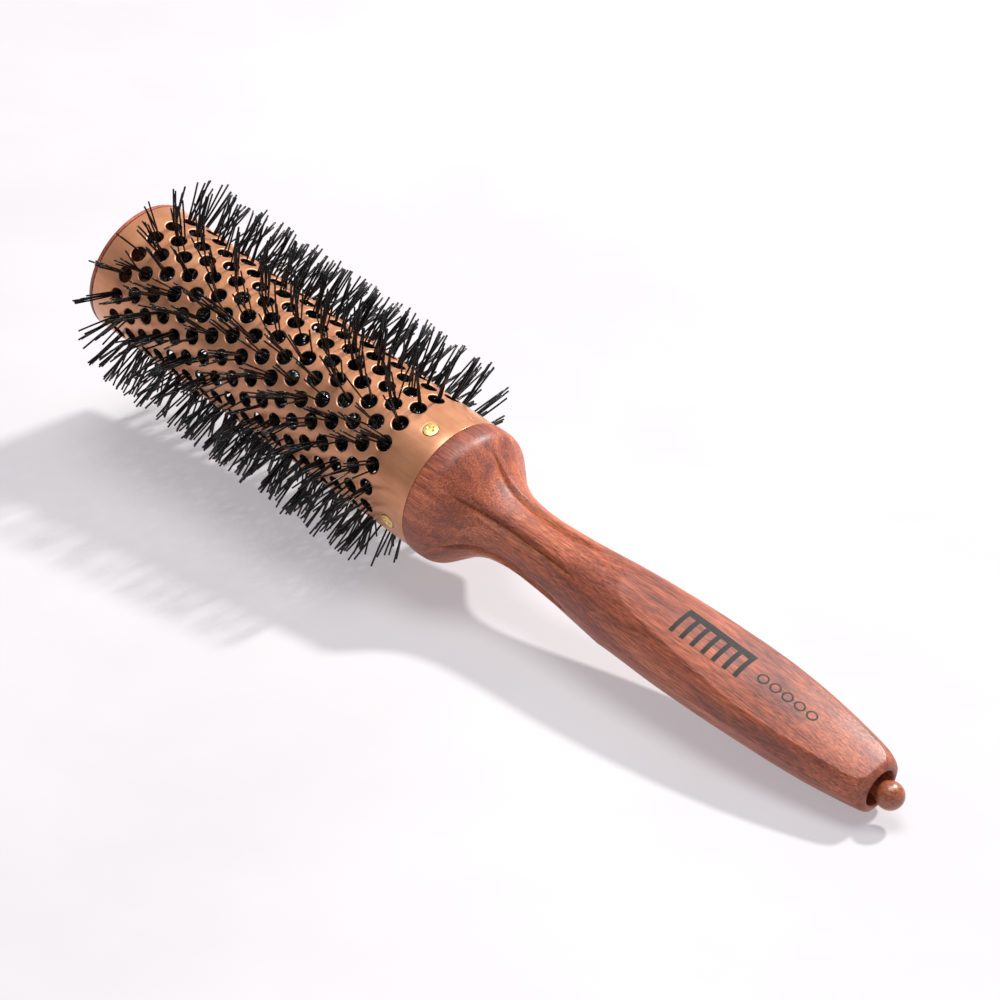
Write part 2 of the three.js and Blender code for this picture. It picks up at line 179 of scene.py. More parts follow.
def new_piece(name, points, faces, materials, body="brush"):
    """A mesh in the brush's own space, laid into the row frame and riding on a CAD body."""
    mesh = bpy.data.meshes.new(name)
    mesh.from_pydata([tuple(c * MM for c in p) for p in points], [], faces)
    mesh.validate()
    piece = bpy.data.objects.new(name, mesh)
    bpy.context.scene.collection.objects.link(piece)
    for material in materials:
        mesh.materials.append(material)
    mesh.shade_smooth()
    mesh.transform(LIE)
    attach(piece, body)
    return piece


def recalculate(mesh):
    """Turns all faces outward."""
    work = bmesh.new()
    work.from_mesh(mesh)
    bmesh.ops.recalc_face_normals(work, faces=work.faces)
    work.to_mesh(mesh)
    work.free()


def tube_of_rings(rings):
    """Points and faces of a closed skin over rings of equal counts, with a fan at either end."""
    count = len(rings[0])
    points = [p for ring in rings for p in ring]
    faces = []
    for i in range(len(rings) - 1):
        a, b = i * count, (i + 1) * count
        for k in range(count):
            n = (k + 1) % count
            faces.append((a + k, b + k, b + n, a + n))
    for ring, flip in ((0, False), (len(rings) - 1, True)):
        centre = len(points)
        points.append(tuple(np.mean(np.array(rings[ring]), axis=0)))
        base = ring * count
        for k in range(count):
            n = (k + 1) % count
            face = (base + k, base + n, centre)
            faces.append(face[::-1] if flip else face)
    return points, faces


def add_tube(points, faces, rings):
    """Adds a closed skin over rings to the mesh that points and faces hold."""
    more, shell = tube_of_rings(rings)
    base = len(points)
    points += more
    faces += [tuple(base + i for i in face) for face in shell]


def revolve(profile, sides):
    """Skin of a solid of revolution about the axis; profile runs [x, radius]."""
    rings = [[polar(x, r, 360.0 * k / sides) for k in range(sides)] for x, r in profile]
    return tube_of_rings(rings)


def smooth_line(points, xs, sigma):
    """Values of a polyline at xs, rounded off over about sigma millimetres."""
    step, margin = 0.1, 6
    fine = np.arange(points[0][0] - margin, points[-1][0] + margin, step)
    px = np.array([p[0] for p in points])
    py = np.array([p[1] for p in points])
    value = np.interp(fine, px, py)
    low, high = fine < px[0], fine > px[-1]
    value[low] = py[0] + (fine[low] - px[0]) * (py[1] - py[0]) / (px[1] - px[0])
    value[high] = py[-1] + (fine[high] - px[-1]) * (py[-1] - py[-2]) / (px[-1] - px[-2])
    half = int(4 * sigma / step)
    kernel = np.exp(-0.5 * (np.arange(-half, half + 1) * step / sigma) ** 2)
    kernel /= kernel.sum()
    value = np.convolve(np.pad(value, half, mode="edge"), kernel, mode="valid")
    return np.interp(xs, fine, value)


# ---------------------------------------------------------------- materials
class Shader:
    """Small helper for building one node material."""

    def __init__(self, name):
        self.material = bpy.data.materials.new(name)
        self.material.use_nodes = True
        self.tree = self.material.node_tree
        self.tree.nodes.clear()
        self.output = self.tree.nodes.new("ShaderNodeOutputMaterial")
        self.principled = self.tree.nodes.new("ShaderNodeBsdfPrincipled")
        self.tree.links.new(self.principled.outputs[0], self.output.inputs["Surface"])
        place = self.tree.nodes.new("ShaderNodeTexCoord").outputs["Object"]
        own = self.tree.nodes.new("ShaderNodeMapping")
        own.vector_type = "TEXTURE"
        own.inputs["Location"].default_value = LIE.to_translation()
        own.inputs["Rotation"].default_value = LIE.to_euler()
        self.tree.links.new(place, own.inputs["Vector"])
        self.coordinates = own.outputs[0]

    def set(self, **values):
        """Sets uniform values on the shader's own sockets, as in Coat_Weight=0.2."""
        for key, value in values.items():
            self.principled.inputs[key.replace("_", " ")].default_value = value
        return self

    def link(self, source, target):
        self.tree.links.new(source, target)

    def mapped(self, scale, location=(0, 0, 0)):
        node = self.tree.nodes.new("ShaderNodeMapping")
        node.inputs["Scale"].default_value = scale
        node.inputs["Location"].default_value = location
        self.link(self.coordinates, node.inputs["Vector"])
        return node.outputs[0]

    def noise(self, vector, detail, roughness=0.55, distortion=0.0):
        node = self.tree.nodes.new("ShaderNodeTexNoise")
        node.inputs["Scale"].default_value = 1.0
        node.inputs["Detail"].default_value = detail
        node.inputs["Roughness"].default_value = roughness
        node.inputs["Distortion"].default_value = distortion
        self.link(vector, node.inputs["Vector"])
        return node.outputs["Fac"]

    def math(self, operation, a, b=None, c=None, clamp=False):
        node = self.tree.nodes.new("ShaderNodeMath")
        node.operation = operation
        node.use_clamp = clamp
        for socket, value in zip(node.inputs, (a, b, c)):
            if value is None:
                continue
            if isinstance(value, (int, float)):
                socket.default_value = value
            else:
                self.link(value, socket)
        return node.outputs[0]

    def ramp(self, fac, *stops):
        node = self.tree.nodes.new("ShaderNodeValToRGB")
        elements = node.color_ramp.elements
        while len(elements) < len(stops):
            elements.new(0.5)
        for element, (position, colour) in zip(elements, stops):
            element.position = position
            if isinstance(colour, (int, float)):
                colour = (colour, colour, colour)
            element.color = (*colour, 1.0)
        self.link(fac, node.inputs[0])
        return node.outputs[0]

    def mix(self, fac, a, b, blend="MIX"):
        node = self.tree.nodes.new("ShaderNodeMix")
        node.data_type = "RGBA"
        node.blend_type = blend
        for socket, value in ((node.inputs[0], fac), (node.inputs[6], a), (node.inputs[7], b)):
            if isinstance(value, (int, float)):
                socket.default_value = value
            elif isinstance(value, tuple):
                socket.default_value = (*value, 1.0)
            else:
                self.link(value, socket)
        return node.outputs[2]

    def bump(self, height, strength, distance, under=None):
        node = self.tree.nodes.new("ShaderNodeBump")
        node.inputs["Strength"].default_value = strength
        node.inputs["Distance"].default_value = distance
        self.link(height, node.inputs["Height"])
        if under is not None:
            self.link(under, node.inputs["Normal"])
        return node.outputs[0]

    def split(self, vector):
        node = self.tree.nodes.new("ShaderNodeSeparateXYZ")
        self.link(vector, node.inputs[0])
        return node.outputs

    def drive(self, socket, source):
        self.link(source, self.principled.inputs[socket])


def barrel_coating(name, low, high, roughness):
    """Satin copper-coloured coating with faint clouds and lengthwise draw lines."""
    s = Shader(name)
    cloud = s.noise(s.mapped((170, 170, 170)), detail=4, roughness=0.6)
    patch = s.noise(s.mapped((35, 60, 60), (3, 7, 1)), detail=2)
    fine = s.noise(s.mapped((1500, 4500, 4500)), detail=3)
    lines = s.noise(s.mapped((70, 1100, 1100)), detail=4)
    tone = s.math("MULTIPLY_ADD", cloud, 0.55, s.math("MULTIPLY", patch, 0.45))
    colour = s.ramp(tone, (0.36, low), (0.64, high))
    colour = s.mix(0.16, colour, s.ramp(lines, (0.3, 0.2), (0.7, 0.85)), "OVERLAY")
    s.drive("Base Color", colour)
    rough = s.math("MULTIPLY_ADD", fine, 0.08, roughness)
    s.drive("Roughness", s.math("MULTIPLY_ADD", cloud, 0.10, rough))
    s.drive("Normal", s.bump(lines, 0.10, 0.00002, s.bump(fine, 0.10, 0.00001)))
    return s.set(Metallic=0.48, Coat_Weight=0.2, Coat_Roughness=0.2).material


def barrel_inside_painted_shade():
    """The bore, hole walls and tube ends in near-black: painted shade for the barrel's shaded inside.
    """
    s = Shader("barrel_inside_painted_shade")
    cloud = s.noise(s.mapped((300, 300, 300)), detail=3)
    s.drive("Base Color", s.ramp(cloud, (0.3, (0.006, 0.005, 0.005)), (0.7, (0.02, 0.017, 0.015))))
    s.drive("Roughness", s.math("MULTIPLY_ADD", cloud, 0.2, 0.25))
    return s.material


def wood(name, stops, streak, seed, roughness, coat, axis=0):
    """Close-grained satin hardwood; its grain and short dark vessels run along one axis."""
    s = Shader(name)

    def grain(along, across):
        scale = [across, across, across]
        scale[axis] = along
        return s.mapped(scale, (seed, seed * 0.7, seed * 1.3))

    broad = s.noise(grain(17, 75), detail=3, distortion=0.4)
    growth = s.noise(grain(34, 330), detail=4, distortion=0.6)
    fibres = s.noise(grain(170, 3600), detail=3, roughness=0.65)
    vessels = s.noise(grain(330, 6400), detail=1.0, distortion=0.1)
    tone = s.math("MULTIPLY_ADD", growth, 0.5, s.math("MULTIPLY", broad, 0.5))
    colour = s.ramp(tone, *stops)
    colour = s.mix(0.78, colour, s.ramp(fibres, (0.32, 0.14), (0.68, 0.86)), "OVERLAY")
    fleck = s.ramp(vessels, (0.36, 1.0), (0.47, 0.0))
    amount = s.math("MULTIPLY", fleck, s.ramp(growth, (0.38, 0.85), (0.64, 0.45)))
    s.colour = s.mix(amount, colour, streak)
    s.drive("Base Color", s.colour)
    s.rough = s.math("MULTIPLY_ADD", fibres, 0.14, roughness)
    s.drive("Roughness", s.rough)
    height = s.math("SUBTRACT", s.math("MULTIPLY", fibres, 0.5), fleck)
    s.drive("Normal", s.bump(height, 0.3, 0.00006))
    return s.set(Coat_Weight=coat, Coat_Roughness=0.3)


def printed_mark(s):
    """A generic comb and a row of rings, printed in dark ink on the facet that faces up."""
    x, y, z = (s.math("DIVIDE", part, MM) for part in s.split(s.coordinates))
    turn = s.math("SUBTRACT", s.math("ARCTAN2", z, y), math.radians(FACET_PHASE))
    across = s.math("MULTIPLY", turn, -MARK_ARC_R)
    grain = s.noise(s.mapped((2500, 4000, 4000)), detail=2)
    soft_edge = 0.18
    spine_half, teeth_half, tooth_share = 1.0, 3.1, 0.2

    def within(value, centre, half):
        reach = s.math("ABSOLUTE", s.math("SUBTRACT", value, centre))
        edge = s.math("SUBTRACT", half + soft_edge / 2, reach)
        return s.math("MULTIPLY", edge, 1 / soft_edge, clamp=True)

    def cells(start, pitch):
        part = s.math("FRACT", s.math("DIVIDE", s.math("SUBTRACT", x, start), pitch))
        return s.math("MULTIPLY", s.math("SUBTRACT", part, 0.5), pitch)

    def both(a, b):
        return s.math("MULTIPLY", a, b)

    start, length, tooth_pitch = COMB["start"], COMB["length"], COMB["pitch"]
    middle = start + length / 2
    spine = both(within(x, middle, length / 2), within(across, COMB["spine"], spine_half))
    tooth = within(cells(start - tooth_pitch * 0.3, tooth_pitch), 0, tooth_pitch * tooth_share)
    teeth = both(tooth, both(within(across, COMB["teeth"], teeth_half), within(x, middle, length / 2)))
    first, ring_pitch, rings = RINGS["start"], RINGS["pitch"], RINGS["count"]
    local = cells(first, ring_pitch)
    out = s.math("SQRT", s.math("ADD", both(local, local), both(across, across)))
    dots = both(within(out, RINGS["radius"], RINGS["stroke"] / 2),
                within(x, first + ring_pitch * rings / 2, ring_pitch * rings / 2))
    ink = s.math("MAXIMUM", s.math("MAXIMUM", spine, teeth), dots)
    ink = both(ink, s.math("LESS_THAN", s.math("ABSOLUTE", turn), 1.0))
    ink = both(ink, s.ramp(grain, (0.30, 0.82), (0.44, 1.0)))
    s.drive("Base Color", s.mix(ink, s.colour, (0.014, 0.015, 0.016)))
    s.drive("Roughness", s.math("MULTIPLY_ADD", ink, 0.25, s.rough))


def brass():
    """Bright brass, slightly clouded by handling."""
    s = Shader("brass")
    cloud = s.noise(s.mapped((900, 900, 900)), detail=4)
    fine = s.noise(s.mapped((6000, 6000, 6000)), detail=2)
    s.drive("Base Color", s.ramp(cloud, (0.3, (0.98, 0.64, 0.19)), (0.7, (1.0, 0.76, 0.30))))
    s.drive("Roughness", s.math("MULTIPLY_ADD", cloud, 0.16, 0.26))
    s.drive("Normal", s.bump(fine, 0.15, 0.00001))
    return s.set(Metallic=0.75).material


def steel(name):
    """Drawn steel wire with fine lengthwise lines."""
    s = Shader(name)
    fine = s.noise(s.mapped((400, 5000, 5000)), detail=3)
    s.drive("Base Color", s.ramp(fine, (0.3, (0.42, 0.42, 0.43)), (0.7, (0.62, 0.62, 0.64))))
    s.drive("Roughness", s.math("MULTIPLY_ADD", fine, 0.2, 0.2))
    s.drive("Normal", s.bump(fine, 0.2, 0.00001))
    return s.set(Metallic=1.0).material


def nylon(name, low_rough, specular):
    """Black nylon; its roughness starts at low_rough."""
    s = Shader(name)
    cloud = s.noise(s.mapped((700, 700, 700)), detail=2)
    dark, light = (0.003, 0.003, 0.0035), (0.008, 0.008, 0.009)
    s.drive("Base Color", s.ramp(cloud, (0.3, dark), (0.7, light)))
    s.drive("Roughness", s.math("MULTIPLY_ADD", cloud, 0.15, low_rough))
    s.drive("Normal", s.bump(cloud, 0.1, 0.00002))
    return s.set(Specular_IOR_Level=specular).material


WOOD_TONES = (
    (0.36, (0.185, 0.054, 0.039)), (0.46, (0.33, 0.086, 0.048)), (0.55, (0.46, 0.123, 0.061)),
    (0.66, (0.61, 0.188, 0.092)),
)
WOOD_STREAK = (0.12, 0.034, 0.022)
CARVED_TONES = (
    (0.36, (0.19, 0.050, 0.022)), (0.46, (0.32, 0.080, 0.031)), (0.55, (0.44, 0.117, 0.041)),
    (0.66, (0.58, 0.175, 0.064)),
)
CARVED_STREAK = (0.10, 0.028, 0.017)
KNOB_TONES = (
    (0.35, (0.20, 0.052, 0.026)), (0.5, (0.33, 0.088, 0.040)), (0.65, (0.43, 0.13, 0.058)),
)
KNOB_STREAK = (0.16, 0.042, 0.024)

MAT_BARREL = barrel_coating("barrel_coating", (0.60, 0.245, 0.12), (0.74, 0.335, 0.18), 0.22)
# The hole lips take a lighter copy of the coating: a painted highlight round each hole.
MAT_LIP_HIGHLIGHT = barrel_coating("barrel_lip_painted_highlight", (0.70, 0.32, 0.18), (0.80, 0.41, 0.25), 0.32)
# The barrel's bore and hole walls are near-black: painted shade.
MAT_INSIDE_SHADE = barrel_inside_painted_shade()
WOOD = wood("handle_wood", WOOD_TONES, WOOD_STREAK, 3.1, 0.38, 0.06)
printed_mark(WOOD)
MAT_WOOD = WOOD.material
MAT_CARVED = wood("carved_wood", CARVED_TONES, CARVED_STREAK, 3.1, 0.5, 0.0).material
MAT_CAP = wood("cap_wood", WOOD_TONES, WOOD_STREAK, 9.4, 0.36, 0.1, axis=1).material
MAT_KNOB = wood("knob_wood", KNOB_TONES, KNOB_STREAK, 17.0, 0.22, 0.45).material
MAT_BRASS = brass()
MAT_WIRE = steel("core_wire")
MAT_PIN = steel("pin_steel")
MAT_NYLON = nylon("bristle_nylon", 0.2, 0.32)
MAT_KNOT = nylon("knot_nylon", 0.12, 0.9)


# ---------------------------------------------------------------- barrel with its vent holes
# Kinds of barrel face: the coating outside, the near-black inside (painted shade) and the lighter lips
# (painted highlight).
OUTSIDE, INSIDE, LIP = 0, 1, 2
TWO_SIDES = ((OUTSIDE, BARREL_R), (INSIDE, BARREL_BORE_R))
BORDER_POINTS = 24


def row_place(row):
    """Where a row of holes lies along the axis."""
    return FIRST_ROW_X + row * ROW_PITCH


def row_phase(row):
    """Every other row is turned by half a step; the row next to the handle is a turned one."""
    return ROW_STEP / 2 if (HOLE_ROWS - 1 - row) % 2 == 0 else 0.0


class Skin:
    """The barrel's faces, whose points are shared wherever they fall on the same place."""

    def __init__(self):
        self.points, self.faces, self.kinds, self.known = [], [], [], {}

    def point(self, x, degrees, radius):
        place = polar(x, radius, degrees)
        key = tuple(round(c * 2000) for c in place)
        if key not in self.known:
            self.known[key] = len(self.points)
            self.points.append(place)
        return self.known[key]

    def strip(self, first, second, closed=True, kind=OUTSIDE):
        """Quads between two rows of [x, degrees, radius] points."""
        count = len(first)
        a = [self.point(*p) for p in first]
        b = [self.point(*p) for p in second]
        for k in range(count if closed else count - 1):
            n = (k + 1) % count
            face = list(dict.fromkeys((a[k], a[n], b[n], b[k])))
            if len(face) > 2:
                self.faces.append(face)
                self.kinds.append(kind)


def round_hole(skin, centre_x, centre_deg, border, radius, lip):
    """A hole with a rounded lip, in a patch whose border is given as [dx, ds] in millimetres."""
    def ring(share, r, depth):
        row = []
        for dx, ds in border:
            size = math.hypot(dx, ds)
            reach = r + (size - r) * share
            row.append((centre_x + dx / size * reach, centre_deg + ds / size * reach / ARC_MM, depth))
        return row

    def lip_ring(share):
        angle = share * math.pi / 2
        level = BARREL_R - lip * (1 - math.cos(angle))
        return ring(0.0, radius + lip * (1 - math.sin(angle)), level)

    lip_steps = 4
    skin.strip(ring(1.0, radius, BARREL_R), ring(0.45, radius, BARREL_R))
    skin.strip(ring(0.45, radius, BARREL_R), lip_ring(0.0))
    for step in range(lip_steps):
        skin.strip(lip_ring(step / lip_steps), lip_ring((step + 1) / lip_steps), kind=LIP)
    wall = ring(0.0, radius, BARREL_BORE_R + lip * 0.5)
    edge = ring(0.0, radius + lip * 0.5, BARREL_BORE_R)
    skin.strip(lip_ring(1.0), wall, kind=INSIDE)
    skin.strip(wall, edge, kind=INSIDE)
    skin.strip(edge, ring(1.0, radius, BARREL_BORE_R), kind=INSIDE)


def hexagon_border():
    """The cell round one vent hole, stretched so that the rows meet."""
    stretch = ROW_PITCH / (CELL_APOTHEM * math.sqrt(3))
    border = []
    for k in range(BORDER_POINTS):
        angle = 360.0 / BORDER_POINTS * k
        size = CELL_APOTHEM / math.cos(math.radians((angle % 60) - 30))
        dx, ds = size * math.cos(math.radians(angle)), size * math.sin(math.radians(angle))
        border.append((dx * stretch, ds))
    return border


def row_edge(border, row, start, stop, radius):
    """One side of a whole row of cells: border points start to stop of each."""
    edge = []
    for j in range(HOLES_PER_ROW):
        centre = row_phase(row) + j * ROW_STEP
        cell = [(row_place(row) + border[k % BORDER_POINTS][0],
                 centre + border[k % BORDER_POINTS][1] / ARC_MM, radius)
                for k in range(start, stop + 1)]
        cell.sort(key=lambda p: p[1])
        edge += cell[:-1]
    return edge


def plain_end(skin, profile, degrees):
    """An end of the tube: its outside, softened edges and face, then back along the bore."""
    outside_steps = 4
    for i, ((x, r), (next_x, next_r)) in enumerate(zip(profile, profile[1:])):
        first = [(x, d, r) for d in degrees]
        second = [(next_x, d, next_r) for d in degrees]
        skin.strip(first, second, kind=INSIDE if i >= outside_steps else OUTSIDE)


def screw_band(skin, degrees):
    """The band with the screw seats: by each seat a block one cell wide, then a plain stretch."""
    steps, slack = 6, 0.01
    levels = [SCREW_BAND[0] + (SCREW_BAND[1] - SCREW_BAND[0]) * i / steps for i in range(steps + 1)]
    half = ROW_STEP / 2
    for seat in range(0, 360, SCREW_STEP):
        offsets = sorted({round((d - seat) % 360, 6) % 360 for d in degrees})
        plain = [seat + off for off in offsets if half - slack < off < SCREW_STEP - half + slack]
        for kind, radius in TWO_SIDES:
            for low, high in zip(levels, levels[1:]):
                first = [(low, d, radius) for d in plain]
                second = [(high, d, radius) for d in plain]
                skin.strip(first, second, closed=False, kind=kind)
        near = sorted(off - 360 if off > 180 else off for off in offsets)
        block = [seat + off for off in near if abs(off) < half + slack]
        loop = [(levels[0], d) for d in block]
        loop += [(x, block[-1]) for x in levels[1:]]
        loop += [(levels[-1], d) for d in block[-2::-1]]
        loop += [(x, block[0]) for x in levels[-2:0:-1]]
        border = [(x - SCREW_X, (d - seat) * ARC_MM) for x, d in loop]
        round_hole(skin, SCREW_X, seat, border, SCREW_SEAT_R, SCREW_SEAT_LIP)


def barrel():
    """The perforated tube: a patch round every vent hole, its two plain ends and the screw band."""
    skin = Skin()
    border = hexagon_border()
    for row in range(HOLE_ROWS):
        for j in range(HOLES_PER_ROW):
            round_hole(skin, row_place(row), row_phase(row) + j * ROW_STEP, border, HOLE_R, HOLE_LIP)
    for kind, radius in TWO_SIDES:
        left = row_edge(border, 0, 8, 16, radius)
        left_degrees = [p[1] for p in left]
        skin.strip(left, [(FIRST_BAND_END, d, radius) for d in left_degrees], kind=kind)
        right = row_edge(border, HOLE_ROWS - 1, -4, 4, radius)
        right_degrees = [p[1] for p in right]
        skin.strip(right, [(SCREW_BAND[0], d, radius) for d in right_degrees], kind=kind)
    plain_end(skin, [
        (FIRST_BAND_END, BARREL_R), (BARREL_START + 0.12, BARREL_R), (BARREL_START + 0.03, 17.47),
        (BARREL_START, 17.4), (BARREL_START, 16.6), (BARREL_START + 0.1, BARREL_BORE_R),
        (FIRST_BAND_END, BARREL_BORE_R),
    ], left_degrees)
    plain_end(skin, [
        (SCREW_BAND[1], BARREL_R), (BARREL_END - 0.1, BARREL_R), (BARREL_END - 0.01, 17.48),
        (BARREL_END, 17.42), (BARREL_END, 16.6), (BARREL_END - 0.1, BARREL_BORE_R),
        (SCREW_BAND[1], BARREL_BORE_R),
    ], right_degrees)
    screw_band(skin, right_degrees)

    piece = new_piece("barrel", skin.points, skin.faces, [MAT_BARREL, MAT_INSIDE_SHADE, MAT_LIP_HIGHLIGHT])
    piece.data.polygons.foreach_set("material_index", skin.kinds)
    recalculate(piece.data)
    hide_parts("barrel_tube")


# ---------------------------------------------------------------- bristles
def filament(points, faces, path, radius):
    """Adds one nylon filament as a thin tube along path, cut square at its tip."""
    rings = []
    for i, here in enumerate(path):
        before, after = path[max(i - 1, 0)], path[min(i + 1, len(path) - 1)]
        along = (after - before).normalized()
        side = along.cross(Vector((1, 0, 0.02))).normalized()
        up = side.cross(along)
        ring = []
        for k in range(FILAMENT_SIDES):
            angle = 2 * math.pi * k / FILAMENT_SIDES
            ring.append(tuple(here + (side * math.cos(angle) + up * math.sin(angle)) * radius))
        rings.append(ring)
    add_tube(points, faces, rings)


def bead(points, faces, centre, radius):
    """Adds the small glossy knot that holds a tuft together under its hole."""
    bands, sides = 6, 10
    rings = []
    for i in range(1, bands):
        polar_angle = math.pi * i / bands
        level, reach = math.cos(polar_angle), math.sin(polar_angle)
        rings.append([tuple(centre + Vector(polar(level, reach, 360.0 * k / sides)) * radius)
                      for k in range(sides)])
    add_tube(points, faces, rings)


def in_disc(radius):
    """A random place on a disc."""
    reach, turn = math.sqrt(rng.random()) * radius, rng.random() * 2 * math.pi
    return reach * math.cos(turn), reach * math.sin(turn)


def tuft():
    """Where the filaments of one tuft leave their hole and how each leans: a bunch and strays."""
    bunch_off = in_disc(BUNCH_REACH)
    bunch_lean = (rng.gauss(0, BUNCH_LEAN[0]), rng.gauss(0, BUNCH_LEAN[1]))
    plan = []
    for _ in range(rng.choices(TUFT_SIZES, TUFT_ODDS)[0]):
        if rng.random() < STRAY_SHARE:
            off = in_disc(STRAY_REACH)
            lean = (off[0] * 0.05 + rng.gauss(0, 0.1), off[1] * 0.05 + rng.gauss(0, 0.1))
        else:
            near = (rng.gauss(0, BUNCH_SPREAD), rng.gauss(0, BUNCH_SPREAD))
            off = (bunch_off[0] + near[0], bunch_off[1] + near[1])
            reach = max(1.0, math.hypot(*off) / MOUTH_REACH)
            off = (off[0] / reach, off[1] / reach)
            lean = (bunch_lean[0] - near[0] * 0.012 + rng.gauss(0, 0.04),
                    bunch_lean[1] - near[1] * 0.012 + rng.gauss(0, 0.04))
        plan.append((off, lean))
    return plan


def bristle_row(row):
    """The tufts of one ring, a tuft with its knot through each hole; none reaches the floor."""
    points, faces, knots = [], [], []
    along = Vector((1, 0, 0))
    for j in range(HOLES_PER_ROW):
        degrees = row_phase(row) + j * ROW_STEP
        out = Vector(polar(0, 1, degrees))
        round_ = Vector(polar(0, 1, degrees + 90))

        def at(radius, dx, ds):
            return Vector((row_place(row), 0, 0)) + out * radius + along * dx + round_ * ds

        knot = in_disc(0.7)
        before = len(faces)
        bead(points, faces, at(rng.uniform(14.6, 15.2), *knot), rng.uniform(0.75, 1.15))
        knots.append((before, len(faces)))
        for (off_x, off_s), (lean_x, lean_s) in tuft():
            core = (rng.uniform(-1.4, 1.4), rng.uniform(-0.35, 0.35))
            tip_r = TIP_R + rng.uniform(-0.4, 1.7)
            bow = (rng.gauss(0, 0.22), rng.gauss(0, 0.22))
            thick = FILAMENT_R * rng.uniform(0.92, 1.06)

            def outer(share):
                reach, bend = (tip_r - MOUTH_R) * share, share * share
                return at(MOUTH_R + reach, off_x + lean_x * reach + bow[0] * bend,
                          off_s + lean_s * reach + bow[1] * bend)

            while (LIE @ (outer(1.0) * MM)).z < (thick + FLOOR_GAP) * MM:
                tip_r -= 0.1
            path = [
                at(ROOT_R, core[0], core[1]),
                at(9.5, core[0] * 0.5 + off_x * 0.45, core[1] * 0.5 + off_s * 0.45),
                at(15.6, off_x * 0.9, off_s * 0.9),
                at(MOUTH_R, off_x, off_s),
                outer(0.34), outer(0.67), outer(1.0),
            ]
            filament(points, faces, path, thick)
    piece = new_piece(f"bristles_{row + 1:02d}", points, faces, [MAT_NYLON, MAT_KNOT])
    for first, last in knots:
        for index in range(first, last):
            piece.data.polygons[index].material_index = 1
    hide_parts(f"bristle_ring_{row + 1:02d}")


# ---------------------------------------------------------------- handle
def smooth_min(a, b, width):
    """The lesser of two values, blended over width where they cross."""
    blend = np.clip(0.5 + 0.5 * (b - a) / width, 0, 1)
    return b * (1 - blend) + a * blend - width * blend * (1 - blend)


def facet_radius(psi, crown):
    """Where rays at psi meet a facet crown high: height = crown + ease - hypot(ease, slope * s)."""
    facet = np.full(len(psi), crown)
    for _ in range(12):
        bulge = np.hypot(FACET_CROWN_EASE, FACET_CROWN_SLOPE * facet * np.sin(psi))
        facet = (crown + FACET_CROWN_EASE - bulge) / np.maximum(np.cos(psi), 0.2)
    return np.where(np.abs(psi) < FACET_REACH, facet, 99.0)


def turned_from(degrees, phase, step, index):
    """Angles in radians from the middle of one facet or flute."""
    return np.radians((degrees - phase - step * index + 180) % 360 - 180)


def handle():
    """The turned body with three long facets and six flutes, its plug, recess and pin bore."""
    sides = 480
    degrees = np.arange(sides) * 360.0 / sides
    xs = np.concatenate([
        np.arange(113.3, 120, 0.4), np.arange(120, 160, 0.25), np.arange(160, 240, 0.5),
        np.arange(240, 244.2, 0.25),
    ])
    turned = smooth_line(HANDLE_PROFILE, xs, sigma=0.5)
    steep = np.hypot(1, np.gradient(turned, xs))
    crown = smooth_line(FACET_LINE, xs, sigma=1.5)
    flute = np.interp(xs, *zip(*FLUTE_SHAPE))
    valley_round = 0.06
    rings, carved = [], []
    for x, r, up, c, half in zip(xs, turned, steep, crown, flute):
        radius = np.full(sides, r)
        if x > FACETS_START:
            for k in range(FACETS):
                psi = turned_from(degrees, FACET_PHASE, 360.0 / FACETS, k)
                radius = smooth_min(radius, facet_radius(psi, c), FACET_EDGE)
        cut = np.zeros(sides)
        if half > 0:
            for k in range(FLUTES):
                off = turned_from(degrees, FLUTE_PHASE, 360.0 / FLUTES, k) * r
                groove = 1 + valley_round - np.sqrt((off / half) ** 2 + valley_round ** 2)
                groove = np.clip(groove, 0, None)
                radius = radius - FLUTE_DEPTH_SHARE * half * up * groove
                cut = np.maximum(cut, groove)
        carved.append(cut)
        rings.append([polar(x, q, d) for q, d in zip(radius, degrees)])

    def plain(profile):
        return [[polar(x, r, d) for d in degrees] for x, r in profile]

    front = plain([
        (WIRE_HOLE_END, WIRE_HOLE_R), (PLUG_START, WIRE_HOLE_R), (PLUG_START, PLUG_R - 0.3),
        (PLUG_START + 0.3, PLUG_R), (112.6, PLUG_R), (112.7, 16.3), (112.7, 17.3),
        (112.76, 17.52), (112.9, 17.62),
    ])
    last = np.array([math.hypot(p[1], p[2]) for p in rings[-1]])

    def towards(x, share, target=4.9):
        return [polar(x, (1 - share) * q + share * target, d) for q, d in zip(last, degrees)]

    tail = [towards(TAIL_X - 0.65, 0.22), towards(TAIL_X - 0.3, 0.5), towards(TAIL_X - 0.08, 0.78)]
    tail += plain([
        (TAIL_X, 5.1), (TAIL_X - 0.04, 4.78), (TAIL_X - 0.2, 4.58), (TAIL_X - 0.5, RECESS_R),
        (242, RECESS_R), (RECESS_FLOOR + 0.2, RECESS_R), (RECESS_FLOOR, RECESS_R - 0.2),
        (RECESS_FLOOR, PIN_BORE_R), (237.5, PIN_BORE_R), (200, PIN_BORE_R), (PIN_BORE_END, PIN_BORE_R),
    ])
    points, faces = tube_of_rings(front + rings + tail)
    piece = new_piece("handle_turned", points, faces, [MAT_WOOD, MAT_CARVED])
    for i, (here, there) in enumerate(zip(carved, carved[1:])):
        for k in range(sides):
            n = (k + 1) % sides
            if min(here[k], there[k], here[n], there[n]) > 0.04:
                piece.data.polygons[(len(front) + i) * sides + k].material_index = 1
    recalculate(piece.data)
    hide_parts("handle")


